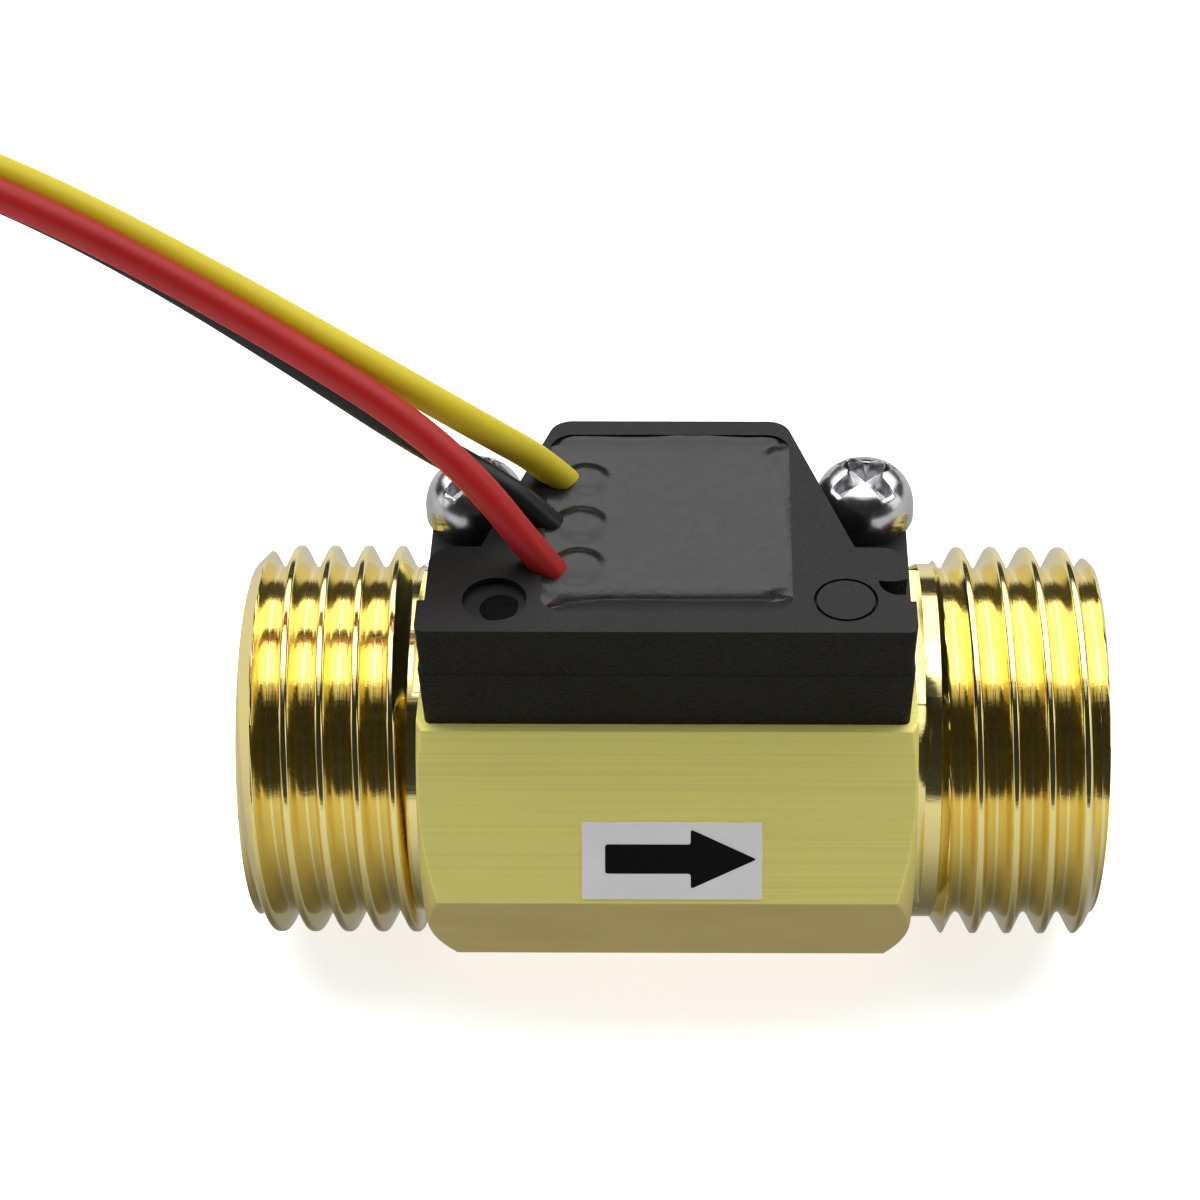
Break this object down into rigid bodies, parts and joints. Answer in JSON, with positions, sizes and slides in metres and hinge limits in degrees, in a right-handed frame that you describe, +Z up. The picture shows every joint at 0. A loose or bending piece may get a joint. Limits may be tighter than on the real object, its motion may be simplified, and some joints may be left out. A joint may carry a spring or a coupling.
{
  "type": "turbine flow sensor",
  "caption": "Brass inline turbine flow sensor with a male pipe thread at each end, a potted Hall sensor case on a hexagonal body and a wired lead with a small connector.",
  "frame": {"origin": "middle of the hexagon's bottom flat, on which the part stands", "axes": "+X along the flow from the inlet to the outlet, -Y the side of the flow arrow, +Z up through the sensor case; the flow axis is at z 10.5 mm"},
  "size_m": [0.091, 0.0366, 0.0438],
  "materials": {
    "brass": "turned and brushed",
    "guide_plastic": "moulded acetal",
    "rotor_plastic": "moulded",
    "magnet": "bonded ferrite",
    "stainless": "ground",
    "spring_steel": "drawn wire",
    "bearing": "polished",
    "case_plastic": "fine moulded texture",
    "component_plastic": "moulded",
    "ceramic": "fired",
    "board": "solder mask",
    "solder": "satin",
    "resin": "cast, glossy",
    "plated_steel": "nickel plated",
    "label": "silver film",
    "insulation_red": "extruded",
    "insulation_black": "extruded",
    "insulation_yellow": "extruded",
    "connector_plastic": "moulded nylon",
    "contact_metal": "tinned"
  },
  "bodies": {
    "housing": {"body": "brass", "inlet_guide": "guide_plastic", "outlet_guide": "guide_plastic", "retaining_ring": "spring_steel", "inlet_bush": "bearing", "outlet_bush": "bearing", "thrust_washers": "bearing", "sensor_case": "case_plastic", "hall_sensor": "component_plastic", "circuit_board": "board", "resistor": "component_plastic", "capacitor": "ceramic", "solder_joints": "solder", "potting": "resin", "case_screws": "plated_steel", "flow_label": "label", "wire_red": "insulation_red", "wire_black": "insulation_black", "wire_yellow": "insulation_yellow", "connector_housing": "connector_plastic", "connector_contacts": "contact_metal"},
    "turbine": {"rotor": "rotor_plastic", "ring_magnet": "magnet", "shaft": "stainless"}
  },
  "joints": [
    {"name": "rotor_spin", "type": "hinge", "parent": "housing", "child": "turbine", "pos_m": [0, 0, 0.0105], "axis": [1, 0, 0], "continuous": true}
  ]
}
